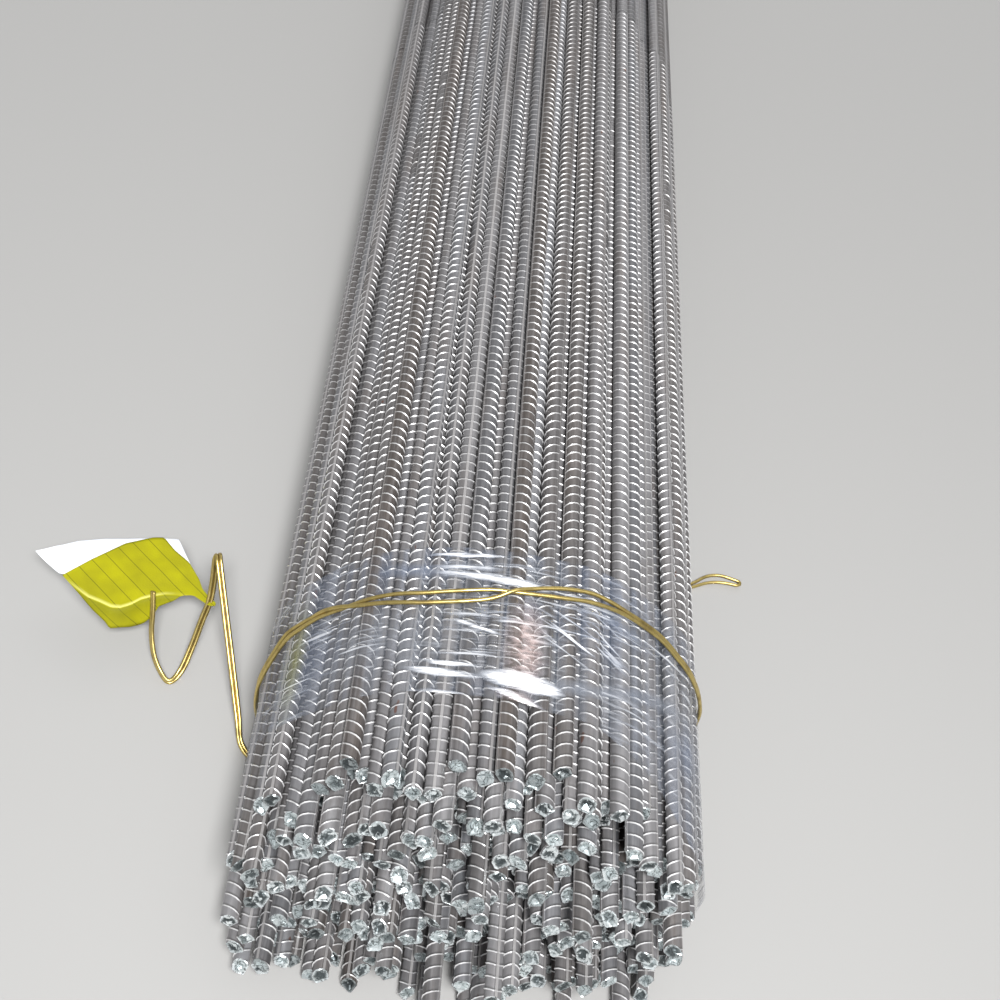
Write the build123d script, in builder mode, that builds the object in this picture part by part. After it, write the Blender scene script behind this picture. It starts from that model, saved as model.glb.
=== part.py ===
from build123d import *
import heapq
import math
import os
import random

# A tied bundle of ribbed reinforcing bars lying on the floor.
# X runs across the bundle, Y along the bars from the near end to the far end, Z up.
# The floor is at Z = 0 and the foremost bar end is at Y = 0.

# Bars: drawn plain at the size over the ribs. An odd number of sides keeps the gaps between them even
NOMINAL_D = 12.0
RIB_HEIGHT = 0.7
BAR_LENGTH = 6000.0
BAR_SIDES = 9
BAR_GAP = 0.1

# Outline that the ties hold the pile in: half width of the bundle at heights above its lowest bars
HALF_WIDTHS = [(0, 140), (12, 155), (40, 170), (70, 170), (90, 168), (120, 158), (150, 141), (176, 119),
               (197, 92), (212, 60), (219, 30), (222, 6)]
# How loosely the lowest bars lie, and how unevenly the rest settle on them
FLOOR_SLACK = 1.0
SETTLE_NOISE = 2.0
SETTLE_SEED = 3

# Bar ends: each is staggered, they draw back toward the top and the sides, and a few stand out from the rest
END_SLOPE = 0.25
END_SPREAD = 50.0
LEFT_SETBACK = 15.0
RIGHT_SETBACK = 45.0
STAND_OUT = 50.0
STAND_OUT_SHARE = 0.08

# Ties: doubled wire over a band of stretch film
WIRE_D = 2.8
WIRE_SIDES = 5
STRAND_GAP = 0.3
SHORTEST_RUN = 1.0
FILM_T = 0.4
FILM_WIDTH = 120.0
FILM_REAR = 40.0
SEAT = 0.3
# Front edge of the front film band in plan, drawn forward on the right where it was pulled
FILM_FRONT = [(-190, 170), (-30, 172), (60, 164), (105, 146), (140, 118), (190, 106)]
TIE_INSET = 250.0
FRONT_SKEW = 34.0

# Free tail of the front wire on the left, from its end to the bundle, and its loop end on the right
TAIL = [
    (-270, 330, 51),
    (-269, 324, 44.5),
    (-268, 316, 35.5),
    (-267, 307, 25),
    (-263, 295, 14),
    (-256, 285, 6),
    (-247, 278, 2.3),
    (-239.5, 288, 6),
    (-234, 304, 18),
    (-229, 320, 34),
    (-225, 331.2, 46),
    (-224, 341, 57),
    (-224, 348.5, 67),
    (-223.8, 353, 75),
    (-222.5, 353.5, 81),
    (-220.8, 349, 84),
    (-218.5, 341.5, 80.5),
    (-209, 314.5, 61),
    (-197, 280, 38),
    (-186, 248, 17),
    (-179.5, 229, 5),
]
LOOP_END = [(190, 452, 1.6), (208, 463, 2.2), (222, 466, 3), (236, 464, 3.4)]
LOOP_END_R = 3.4

# Tag: two sheets of paper on the wire's tail, the front one bent down along its lower side
TAG_MIDDLE = (-284, 335, 46)
TAG_WAY = (1, -0.065, 0)
SHEET_T = 0.3
SHEET_REACH = 80.0
BEND_Y = -2.0
BEND_R = 5.0
BEND_ANGLE = 50.0
YELLOW_EDGE = [(-62, 0), (-31, 30), (7, 50), (35, 29), (66.5, 5), (66.5, -4), (30, -12), (11, -19), (-16, -29),
               (-40, -18)]
WHITE_EDGE = [(-87, 12), (-71, 31), (19, 56), (44, 24), (20, 2), (-55, 2)]
EYE_X = 59.0
EYE_R = 4.7

TIE_PLACES = [TIE_INSET, BAR_LENGTH / 2, BAR_LENGTH - TIE_INSET]
BAR_D = NOMINAL_D + 2 * RIB_HEIGHT
BAR_R = BAR_D / 2
PITCH = BAR_D + BAR_GAP
LAYER_RISE = PITCH * math.sqrt(3) / 2
WIRE_R = WIRE_D / 2
FILM_IN = BAR_R + SEAT
FILM_OUT = FILM_IN + FILM_T
WIRE_LINE = FILM_OUT + SEAT + WIRE_R
LOWEST = WIRE_LINE + WIRE_R

os.makedirs("parts", exist_ok=True)
rng = random.Random(SETTLE_SEED)


def half_width(height):
    """Return the outline's half width at a height above the lowest bars' underside."""
    for (low, a), (high, b) in zip(HALF_WIDTHS, HALF_WIDTHS[1:]):
        if low <= height <= high:
            return a + (b - a) * (height - low) / (high - low)
    return -1.0


def in_outline(x, z):
    for k in range(8):
        turn = math.pi / 4 * k
        height = max(0.0, z - LOWEST + BAR_R + BAR_R * math.sin(turn))
        if abs(x + BAR_R * math.cos(turn)) > half_width(height):
            return False
    return True


def is_free(x, z, bars):
    return all((x - a) ** 2 + (z - b) ** 2 >= PITCH**2 - 1e-4 for a, b in bars)


def rests(bar, bars):
    """Return the places where one more bar would touch this bar and another one."""
    found = []
    for other in bars:
        dx = other[0] - bar[0]
        dz = other[1] - bar[1]
        reach = math.hypot(dx, dz)
        if 0 < reach < 2 * PITCH:
            rise = math.sqrt(PITCH**2 - reach**2 / 4)
            for side in (-1, 1):
                x = (bar[0] + other[0]) / 2 - side * dz / reach * rise
                z = (bar[1] + other[1]) / 2 + side * dx / reach * rise
                if z > LOWEST - 0.001 and in_outline(x, z) and is_free(x, z, bars):
                    found.append((z + rng.random() * SETTLE_NOISE, x, z))
    return found


def settle():
    """Lay a row of bars on the floor, then settle the others on them, the lowest places first."""
    reach = half_width(BAR_R) - BAR_R
    bars = []
    x = -reach
    while x <= reach:
        bars.append((x, LOWEST))
        x += PITCH + rng.random() * FLOOR_SLACK
    shift = (bars[0][0] + bars[-1][0]) / 2
    bars = [(x - shift, z) for x, z in bars]
    places = [place for bar in bars for place in rests(bar, bars)]
    heapq.heapify(places)
    while places:
        _, x, z = heapq.heappop(places)
        if is_free(x, z, bars):
            bars.append((x, z))
            for place in rests((x, z), bars):
                heapq.heappush(places, place)
    return bars


def end_setback(x, z):
    """Return how far a bar's near end lies behind the foremost place at the bottom of the pile."""
    height = z - LOWEST
    side = LEFT_SETBACK if x < 0 else RIGHT_SETBACK
    outward = (abs(x) / max(width for _, width in HALF_WIDTHS)) ** 4
    setback = END_SLOPE * height + side * outward * (1 - height / HALF_WIDTHS[-1][0])
    setback += rng.random() * END_SPREAD
    if rng.random() < STAND_OUT_SHARE:
        setback -= rng.random() * STAND_OUT
    return setback


BARS = settle()
SETBACKS = [end_setback(x, z) for x, z in BARS]
FOREMOST = min(SETBACKS)
LAYERS = {}
for (x, z), setback in zip(BARS, SETBACKS):
    layer = round((z - LOWEST) / LAYER_RISE) + 1
    LAYERS.setdefault(layer, []).append((x, z, setback - FOREMOST))

for layer, members in sorted(LAYERS.items()):
    with BuildPart() as bars:
        for x, z, setback in members:
            with BuildSketch(Plane.XZ.offset(-setback)):
                with Locations((x, z)):
                    RegularPolygon(BAR_R, BAR_SIDES)
            extrude(amount=-BAR_LENGTH)
    bars.part.label = f"bars_layer_{layer:02d}"
    export_step(bars.part, f"parts/bars_layer_{layer:02d}.step")


def hull(points):
    """Return the corners of the taut outline round some points, anticlockwise from the low left one."""
    points = sorted(points)

    def half(run):
        chain = []
        for p in run:
            while len(chain) > 1:
                (ax, az), (bx, bz) = chain[-2], chain[-1]
                if (bx - ax) * (p[1] - az) - (bz - az) * (p[0] - ax) > 1e-6:
                    break
                chain.pop()
            chain.append(p)
        return chain[:-1]

    corners = half(points) + half(points[::-1])
    first = min(range(len(corners)), key=lambda i: (round(corners[i][1], 3), corners[i][0]))
    return corners[first:] + corners[:first]


CORNERS = hull(BARS)


def corner_angles(i):
    """Return the directions, square to the outline, in which it comes to and leaves a corner."""
    before, here, after = CORNERS[i - 1], CORNERS[i], CORNERS[(i + 1) % len(CORNERS)]
    way_in = math.atan2(here[1] - before[1], here[0] - before[0]) - math.pi / 2
    way_out = math.atan2(after[1] - here[1], after[0] - here[0]) - math.pi / 2
    if way_out < way_in:
        way_out += 2 * math.pi
    return way_in, way_out


def taut_ring(offset, longest, widest):
    """Return points round the bundle at an offset from the bars' middles, no further apart than stated."""
    ring = []
    for i, here in enumerate(CORNERS):
        way_in, way_out = corner_angles(i)
        turns = 1 + int((way_out - way_in) / widest)
        for k in range(turns + 1):
            angle = way_in + (way_out - way_in) * k / turns
            ring.append(Vector(here[0] + offset * math.cos(angle), 0, here[1] + offset * math.sin(angle)))
        after = CORNERS[(i + 1) % len(CORNERS)]
        steps = int(math.dist(here, after) // longest) + 1
        along = Vector(after[0] - here[0], 0, after[1] - here[1])
        last = ring[-1]
        for k in range(1, steps):
            ring.append(last + along * (k / steps))
    return ring


def rounded(points, times=1):
    """Cut the corners of a run of points, keeping both ends."""
    for _ in range(times):
        cut = [points[0]]
        for a, b in zip(points, points[1:]):
            cut += [a * 0.75 + b * 0.25, a * 0.25 + b * 0.75]
        points = cut + [points[-1]]
    return points


def spaced(points):
    """Leave out the points that lie too close to the one before."""
    kept = points[:1]
    for p in points[1:]:
        if (p - kept[-1]).length > SHORTEST_RUN:
            kept.append(p)
    return kept


def front_wire_points():
    """Return the middle line of the front tie's doubled wire, from its tail to its loop end."""
    ring = taut_ring(WIRE_LINE, 60, 0.5)
    first = max(i for i in range(8) if ring[i].Z > WIRE_R + 0.01) + 1
    lap = ring[first:] + ring[:first + 1]
    left = min(p.X for p in ring)
    width = max(p.X for p in ring) - left
    flat = [p for p in lap[:-1] if p.Z < WIRE_R + 0.01]
    y = TIE_PLACES[0] - FRONT_SKEW / 2
    loop = []
    for i, p in enumerate(lap):
        share = (p.X - left) / width
        if i < len(flat):
            loop.append(Vector(p.X, y - 10 + share * (FRONT_SKEW + 10), WIRE_R))
        else:
            loop.append(Vector(p.X, y + share * FRONT_SKEW, p.Z))
    tail = [Vector(*p) for p in TAIL] + [Vector(left + 4, y - 12, WIRE_R), loop[0]]
    back = loop[-2:]
    reach = LOOP_END[0][1] - y
    for p in flat[2:]:
        share = (p.X - flat[0].X) / (flat[-1].X - flat[0].X)
        back.append(Vector(p.X, y + 3 + share**1.5 * reach * 0.9, WIRE_R))
    return spaced(rounded(tail) + loop[1:-2] + rounded(back + [Vector(*p) for p in LOOP_END]))


def doubled(points, spread, loop_spread):
    """Lay a strand on each side of a middle line and join them in a loop at its last point."""
    last = len(points) - 1
    tangents = [(points[min(i + 1, last)] - points[max(i - 1, 0)]).normalized() for i in range(last + 1)]
    start = max(range(last + 1), key=lambda i: points[i].Z)
    sides = {start: Vector(0, 1, 0)}
    for i in list(range(start + 1, last + 1)) + list(range(start - 1, -1, -1)):
        old = sides[i - 1] if i > start else sides[i + 1]
        sides[i] = (old - tangents[i] * old.dot(tangents[i])).normalized()
    reach = [spread + (loop_spread - spread) * max(0, 1 - (last - i) / 8) for i in range(last + 1)]
    one = [points[i] + sides[i] * reach[i] for i in range(last + 1)]
    other = [points[i] - sides[i] * reach[i] for i in range(last + 1)]
    turn = []
    for angle in (36, 72, 108, 144):
        a = math.radians(angle)
        turn.append(points[last] + (sides[last] * math.cos(a) + tangents[last] * math.sin(a)) * loop_spread)
    return one + turn + other[::-1]


for number, y in enumerate(TIE_PLACES, 1):
    rear = y + FILM_REAR
    front = min(y for x, y in FILM_FRONT) if number == 1 else rear - FILM_WIDTH
    with BuildPart() as film:
        with BuildSketch(Plane.XZ.offset(-front)):
            with BuildLine():
                Polyline(*[(p.X, p.Z) for p in taut_ring(FILM_OUT, 1000, 0.6)], close=True)
            make_face()
            with BuildLine():
                Polyline(*[(p.X, p.Z) for p in taut_ring(FILM_IN, 1000, 0.6)], close=True)
            make_face(mode=Mode.SUBTRACT)
        extrude(amount=front - rear)
        if number == 1:
            with BuildSketch():
                with BuildLine():
                    Polyline((FILM_FRONT[-1][0], 0), (FILM_FRONT[0][0], 0), *FILM_FRONT, close=True)
                make_face()
            extrude(amount=400, mode=Mode.SUBTRACT)
    film.part.label = f"film_band_{number}"
    export_step(film.part, f"parts/film_band_{number}.step")

with BuildPart() as front_tie:
    strand = doubled(front_wire_points(), (WIRE_D + STRAND_GAP) / 2, LOOP_END_R)
    side = Vector(0, 1, 0)
    for before, here, after in zip(strand[:1] + strand, strand, strand[1:] + strand[-1:]):
        way = (after - before).normalized()
        side = (side - way * side.dot(way)).normalized()
        with BuildSketch(Plane(origin=here, x_dir=side, z_dir=way)):
            RegularPolygon(WIRE_R, WIRE_SIDES)
    loft(ruled=True)
front_tie.part.label = "tie_wire_1"
export_step(front_tie.part, "parts/tie_wire_1.step")

for number, y in enumerate(TIE_PLACES[1:], 2):
    with BuildPart() as tie:
        for side in (-1, 1):
            strand_y = y + side * (WIRE_D + STRAND_GAP) / 2
            corners = [(p.X, p.Z) for p in taut_ring(WIRE_LINE + WIRE_R, 1000, 0.6)]
            inner = [(p.X, p.Z) for p in taut_ring(WIRE_LINE - WIRE_R, 1000, 0.6)]
            with BuildSketch(Plane.XZ.offset(WIRE_R - strand_y)):
                with BuildLine():
                    Polyline(*corners, close=True)
                make_face()
                with BuildLine():
                    Polyline(*inner, close=True)
                make_face(mode=Mode.SUBTRACT)
            extrude(amount=-WIRE_D)
    tie.part.label = f"tie_wire_{number}"
    export_step(tie.part, f"parts/tie_wire_{number}.step")

tag_plane = Plane(origin=TAG_MIDDLE, x_dir=TAG_WAY, z_dir=(0, 0, 1))

with BuildPart() as yellow:
    with BuildSketch(Plane(origin=TAG_MIDDLE, x_dir=tag_plane.y_dir, z_dir=tag_plane.x_dir)):
        with BuildLine() as sheet:
            flat_part = Line((SHEET_REACH, 0), (BEND_Y, 0))
            bend = JernArc(flat_part @ 1, flat_part % 1, BEND_R, BEND_ANGLE)
            Line(bend @ 1, (bend @ 1) + (bend % 1) * SHEET_REACH)
        trace(sheet.line, line_width=SHEET_T)
    extrude(amount=SHEET_REACH, both=True)
    with BuildSketch(tag_plane):
        with BuildLine():
            Polyline(*YELLOW_EDGE, close=True)
        make_face()
        with Locations((EYE_X, 0)):
            Circle(EYE_R, mode=Mode.SUBTRACT)
    extrude(amount=SHEET_REACH, both=True, mode=Mode.INTERSECT)
yellow.part.label = "tag_yellow"
export_step(yellow.part, "parts/tag_yellow.step")

with BuildPart() as white:
    with BuildSketch(tag_plane.offset(-SHEET_T * 2.5)):
        with BuildLine():
            Polyline(*WHITE_EDGE, close=True)
        make_face()
    extrude(amount=SHEET_T)
white.part.label = "tag_white"
export_step(white.part, "parts/tag_white.step")
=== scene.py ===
import math
import random

import bmesh
import bpy
import numpy as np
from mathutils import Matrix, Vector, noise


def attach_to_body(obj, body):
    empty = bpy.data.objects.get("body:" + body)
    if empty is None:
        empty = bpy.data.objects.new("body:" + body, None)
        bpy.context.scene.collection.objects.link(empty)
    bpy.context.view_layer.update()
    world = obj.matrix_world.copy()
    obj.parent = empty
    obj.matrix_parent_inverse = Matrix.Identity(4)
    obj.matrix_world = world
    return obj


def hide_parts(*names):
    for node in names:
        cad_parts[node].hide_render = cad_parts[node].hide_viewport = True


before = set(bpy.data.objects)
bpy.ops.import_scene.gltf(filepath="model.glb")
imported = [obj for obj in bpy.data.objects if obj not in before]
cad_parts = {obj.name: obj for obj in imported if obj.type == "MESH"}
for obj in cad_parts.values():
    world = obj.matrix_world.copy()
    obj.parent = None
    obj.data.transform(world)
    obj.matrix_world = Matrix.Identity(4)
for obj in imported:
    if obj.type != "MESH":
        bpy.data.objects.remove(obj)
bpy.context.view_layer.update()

MM = 0.001

# Camera: its place in metres and its angles in degrees
CAMERA_AT = (-0.0930, -0.270, 0.940)
CAMERA_PITCH = 49.6
CAMERA_YAW = 7.4
CAMERA_ROLL = 14.3
LENS = 46.8

# Ribbed bar: radius over the ribs, between them, and where the ribs are only bump
CREST_R = 6.7 * MM
CORE_R = 5.85 * MM
PLAIN_R = 6.2 * MM
RIB_PITCH = 8.4 * MM
RIB_STEPS = (0.0, 0.75 * MM, 1.7 * MM)
RIB_HEIGHTS = (0, 1, 0)
RIB_LEAN = (4.0 * MM, 8.0 * MM)
SEAM_H = 0.7 * MM
SHOWN_LENGTH = 1.08
SIDE_ANGLES = (30, 60, 90, 120, 150)
SEAM_ANGLES = (9, 12.5, 167.5, 171)
COARSE_ANGLES = (9, 90, 171)
PLAIN_ANGLES = (9, 30, 60, 90, 120, 150, 171)
DETAIL_REACH = 105

# Which bars show: directions tried and how far beside the middle, and the length shown of a hidden bar
LOOK_ANGLES = range(0, 181, 12)
LOOK_ASIDE = 6 * MM
COVER_REACH = 30 * MM
LEAST_SHOWN = 12 * MM
MOST_SHOWN = 100 * MM

# Sheared ends: how far they lean back toward the top, and how rough the break is
CUT_LEAN = 0.42
CUT_SPREAD = 0.16
CUT_TURN = 32
CUT_ROUGH = 0.8 * MM

# Rolled-in marks: short stretches without ribs on one side of a bar
MARK_EVERY = 1.2
MARK_RIBS = 9

# Tie wire and film, with the places and the front edge of the film as in the part's source.
# A film's cells are their number along the bars and their size round the bundle.
WIRE_R = 1.5 * MM
STRAND_HALF = 1.55 * MM
WIRE_LINE = 9.1 * MM
FILM_LINE = 7.2 * MM
FILM_T = 0.25 * MM
FILM_REAR = 0.040
FILM_WIDTH = 0.120
FILM_FRONT = [(-0.190, 0.170), (-0.030, 0.172), (0.060, 0.164), (0.105, 0.146), (0.140, 0.118),
              (0.190, 0.106)]
FRONT_CELLS = (34, 3.2 * MM)
PLAIN_CELLS = (16, 6 * MM)
TIE_PLACES = (0.250, 3.000, 5.750)
FRONT_SKEW = 0.034
FLOOR_LEAD = 0.010
BULGE = 0.03

# How the front tie's two strands wander along the bundle, by the place across it, in mm
MIDDLE_WAVE = [(-170, 0), (-152, 14), (-130, 14), (-109, 8), (-88, 5), (-61, 1), (-34, 1), (0, 3), (28, 6),
               (55, 8), (89, 3), (114, 1), (131, -4), (150, -8), (170, -5)]
STRAND_WAVES = (
    [(-170, 3), (-153, 3), (-125, 1), (-115, 0), (-105, -1.5), (-78, -3.8), (-41, -5), (-17, -5), (-9, -3),
     (-2, 0), (12, 3), (36, 4.5), (60, 3.5), (83, 1.5), (170, 1.5)],
    [(-170, -3), (-153, -3), (-125, -1), (-115, 0), (-105, 1.5), (-78, 3.6), (-41, 4), (-15, 3.5), (-2, 1),
     (12, -1.5), (36, -4), (60, -4), (83, -1.5), (170, -1.5)],
)

# Smears on the front film: centre, half length and half width in mm, turn in degrees, strength; the white
# and pink smears are painted glare, the green one a painted reflection of the yellow tag
GLARE_SMEARS = [
    ((-31, 287), (28, 2.2), 1, 1.0),
    ((-30, 276), (30, 2.6), 0, 0.5),
    ((-22, 269), (36, 3.2), -6, 0.7),
    ((8, 265), (22, 4.2), -3, 1.3),
    ((-20, 227), (20, 2.0), -18, 0.9),
    ((-36, 197), (22, 2.2), -5, 0.9),
    ((-41, 190), (30, 3.0), -5, 0.8),
    ((13, 187), (30, 7.5), -6, 1.5),
    ((11, 174), (24, 3.5), -19, 0.8),
    ((-39, 174), (18, 2.4), -4, 0.6),
]
BLUE_SMEARS = [
    ((-65, 272), (34, 7), -6, 0.9),
    ((50, 191), (30, 7), 6, 1.0),
    ((88, 201), (34, 7), 20, 1.0),
    ((121, 212), (28, 9), 12, 1.0),
    ((86, 251), (28, 8), -13, 0.9),
    ((-90, 215), (60, 34), 0, 0.5),
    ((146, 190), (24, 30), 0, 0.8),
]
PINK_GLARE_SMEARS = [((13, 214), (18, 46), 0, 1.0), ((11, 172), (22, 8), -19, 0.7)]
TAG_REFLECTION_SMEARS = [((-140, 227), (9, 62), 0, 0.7)]
SLANTED_FIELD = ((54, 231), (46, 30), 0)

# Free tail of the front wire and its loop end, as in the part's source
TAIL = [
    (-0.270, 0.330, 0.051),
    (-0.269, 0.324, 0.0445),
    (-0.268, 0.316, 0.0355),
    (-0.267, 0.307, 0.025),
    (-0.263, 0.295, 0.014),
    (-0.256, 0.285, 0.006),
    (-0.247, 0.278, 0.0023),
    (-0.2395, 0.288, 0.006),
    (-0.234, 0.304, 0.018),
    (-0.229, 0.320, 0.034),
    (-0.225, 0.3312, 0.046),
    (-0.224, 0.341, 0.057),
    (-0.224, 0.3485, 0.067),
    (-0.2238, 0.353, 0.075),
    (-0.2225, 0.3535, 0.081),
    (-0.2208, 0.349, 0.084),
    (-0.2185, 0.3415, 0.0805),
    (-0.209, 0.3145, 0.061),
    (-0.197, 0.280, 0.038),
    (-0.186, 0.248, 0.017),
    (-0.1795, 0.229, 0.005),
]
LOOP_END = [(0.190, 0.452, 0.0016), (0.208, 0.463, 0.0022), (0.222, 0.466, 0.003), (0.236, 0.464, 0.0034)]
LOOP_SPREAD = (1.6 * MM, 3.4 * MM, 4.2 * MM, 3.2 * MM)
LOOP_TIP = [(0.2395, 0.4655, 0.0034), (0.2400, 0.4625, 0.0034)]

# Tag: the flat outlines of its sheets in mm in the tag's own plane, and the fold in the front one
TAG_MIDDLE = Vector((-0.284, 0.335, 0.046))
TAG_WAY = Vector((1, -0.065, 0)).normalized()
TAG_UP = Vector((0.065, 1, 0)).normalized()
YELLOW_TOP = [(-60, -2), (-44, 17.5), (-23, 40), (-2, 52), (6, 54), (18, 43.5), (33, 34), (45, 20),
              (51, 10), (58, 4), (64.5, 0)]
YELLOW_LOW = [(-60.3, -2.6), (-40, -18), (-28, -29), (-17, -37), (-13, -42), (2, -36.5), (10, -31),
              (16, -23), (20, -12.5), (31, -5), (36, 0), (45, 2.5), (53, -1), (60, -4), (64.5, -3)]
WHITE_TOP = [(-87, 13), (-75, 24), (-59, 34), (-41, 41), (-23, 46), (6.5, 53.8), (18, 55.6), (27, 43),
             (35, 32), (43, 22)]
WHITE_LOW = [(-87, 12.4), (-64, -1), (-48, 0), (-20, 2), (20, 4), (42, 20)]
CREASE = [(-62, -3), (-34, -18), (-25, -20), (-14, -23), (-7, -22), (0, -17), (6, -10), (14, -5), (23, -1),
          (34, 1), (46, -1), (66, -8)]
FOLD_R = 4.0
FOLD_ANGLE = 62
TAG_CELLS = (56, 30)
PAPER_T = 0.25 * MM

rng = random.Random(7)


def along(table, x):
    """Read a curve, given as places and values."""
    return float(np.interp(x, [a for a, _ in table], [b for _, b in table]))


# Reading the bars from the frame

def bars_in(node):
    """Return the bars of a layer as (x, z, near end, far end)."""
    bm = bmesh.new()
    bm.from_mesh(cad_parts[node].data)
    bmesh.ops.remove_doubles(bm, verts=bm.verts, dist=1e-6)
    bm.verts.ensure_lookup_table()
    seen = set()
    bars = []
    for start in bm.verts:
        if start.index in seen:
            continue
        group = []
        stack = [start]
        seen.add(start.index)
        while stack:
            v = stack.pop()
            group.append(v.co.copy())
            for e in v.link_edges:
                other = e.other_vert(v)
                if other.index not in seen:
                    seen.add(other.index)
                    stack.append(other)
        co = np.array(group)
        bars.append((co[:, 0].mean(), co[:, 2].mean(), co[:, 1].min(), co[:, 1].max()))
    bm.free()
    return bars


LAYERS = {n: bars_in(n) for n in sorted(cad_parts) if n.startswith("bars_layer")}
ALL_BARS = [bar for bars in LAYERS.values() for bar in bars]
CENTRES = np.array([(x, z) for x, z, _, _ in ALL_BARS])


def hull(points):
    """Return the corners of the taut outline round some points, anticlockwise from the low left one."""
    points = sorted(points)

    def half(run):
        chain = []
        for p in run:
            while len(chain) > 1:
                (ax, az), (bx, bz) = chain[-2], chain[-1]
                if (bx - ax) * (p[1] - az) - (bz - az) * (p[0] - ax) > 1e-9:
                    break
                chain.pop()
            chain.append(p)
        return chain[:-1]

    corners = half(points) + half(points[::-1])
    first = min(range(len(corners)), key=lambda i: (round(corners[i][1], 6), corners[i][0]))
    return corners[first:] + corners[:first]


CORNERS = hull([(float(x), float(z)) for x, z in CENTRES])


def open_direction(x, z):
    """Return the middle of the directions in which a bar shows from outside, or None."""
    found = []
    for degrees in LOOK_ANGLES:
        a = math.radians(degrees)
        way = np.array((math.cos(a), math.sin(a)))
        side = np.array((-way[1], way[0]))
        rel = CENTRES - (x, z)
        ahead = rel @ way > 4 * MM
        across = rel @ side
        for shift in (-LOOK_ASIDE, 0.0, LOOK_ASIDE):
            if not np.any(ahead & (np.abs(across - shift) < CREST_R * 0.93)):
                found.append(way)
                break
    if not found:
        return None
    middle = np.sum(found, axis=0)
    return math.degrees(math.atan2(middle[1], middle[0]))


def covered_length(x, z, near):
    """Return how far from its near end an inner bar can be seen."""
    reach = LEAST_SHOWN
    for bx, bz, bnear, _ in ALL_BARS:
        if bz > z and math.hypot(bx - x, bz - z) < COVER_REACH:
            reach = max(reach, bnear - near + LEAST_SHOWN)
    return min(reach, MOST_SHOWN)


# Mesh helpers

def new_mesh(name, verts, faces, materials):
    """Make a smooth-shaded mesh object and put it in the scene."""
    mesh = bpy.data.meshes.new(name)
    mesh.from_pydata(verts, [], faces)
    for material in materials:
        mesh.materials.append(material)
    mesh.polygons.foreach_set("use_smooth", [True] * len(mesh.polygons))
    obj = bpy.data.objects.new(name, mesh)
    bpy.context.scene.collection.objects.link(obj)
    return obj


def attach(obj, node):
    """Let a piece stand for a node by hiding the node, and ride on the only body."""
    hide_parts(node)
    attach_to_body(obj, "root")


def sheet_mesh(name, grid, flat, thickness, material, closed=False):
    """Make a thin closed sheet from rows of points, with its flat coordinates as UVs."""
    rows, cols = grid.shape[:2]
    if closed:
        round_way = np.roll(grid, -1, axis=0) - np.roll(grid, 1, axis=0)
    else:
        round_way = np.gradient(grid, axis=0)
    normal = np.cross(np.gradient(grid, axis=1), round_way)
    normal /= np.maximum(np.linalg.norm(normal, axis=2, keepdims=True), 1e-9)
    verts = np.concatenate([grid.reshape(-1, 3), (grid - normal * thickness).reshape(-1, 3)])
    under = rows * cols
    faces = []
    spans = rows if closed else rows - 1
    for i in range(spans):
        k = (i + 1) % rows
        for j in range(cols - 1):
            a, b, c, d = i * cols + j, i * cols + j + 1, k * cols + j + 1, k * cols + j
            faces.append((a, b, c, d))
            faces.append((under + d, under + c, under + b, under + a))
        faces.append((i * cols, k * cols, under + k * cols, under + i * cols))
        last = cols - 1
        faces.append((k * cols + last, i * cols + last, under + i * cols + last, under + k * cols + last))
    if not closed:
        for j in range(cols - 1):
            a, b = j, j + 1
            faces.append((b, a, under + a, under + b))
            a, b = (rows - 1) * cols + j, (rows - 1) * cols + j + 1
            faces.append((a, b, under + b, under + a))
    obj = new_mesh(name, verts.tolist(), faces, [material])
    uv = obj.data.uv_layers.new(name="flat")
    loops = np.empty(len(obj.data.loops), np.int32)
    obj.data.loops.foreach_get("vertex_index", loops)
    both = np.concatenate([flat.reshape(-1, 2)] * 2)
    uv.data.foreach_set("uv", both[loops].astype(np.float32).ravel())
    return obj


# Bars

def rib_profile(v):
    """Return the height share of a rib at a distance past its foot."""
    return np.interp(np.mod(v, RIB_PITCH), (*RIB_STEPS, RIB_PITCH), (*RIB_HEIGHTS, 0))


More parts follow.
